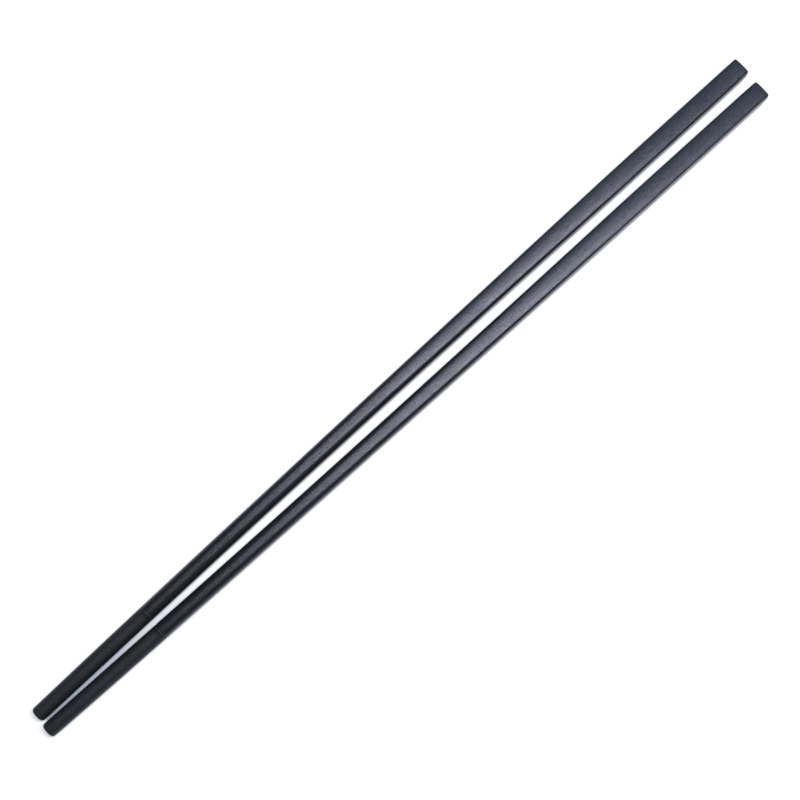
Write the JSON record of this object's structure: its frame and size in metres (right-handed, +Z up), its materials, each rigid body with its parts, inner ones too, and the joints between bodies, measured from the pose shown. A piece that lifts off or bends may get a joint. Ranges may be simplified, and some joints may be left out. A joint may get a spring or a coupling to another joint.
{
  "type": "pair of chopsticks",
  "caption": "Long moulded chopsticks with a square grip, a long taper to an almost round tip, a fine ring groove where the matt tip begins, and a slight bow, laid in a narrow V.",
  "frame": {"origin": "centre of the pair on the surface that it lies on", "axes": "+X along the pair towards the handle ends, +Y towards the left chopstick, +Z up"},
  "size_m": [0.3308, 0.0182, 0.0076],
  "materials": {
    "black_polymer": "satin moulded, glass-fibre-filled, frosted at the tip"
  },
  "bodies": {
    "root": {"left_chopstick": "black_polymer", "right_chopstick": "black_polymer"}
  },
  "joints": []
}
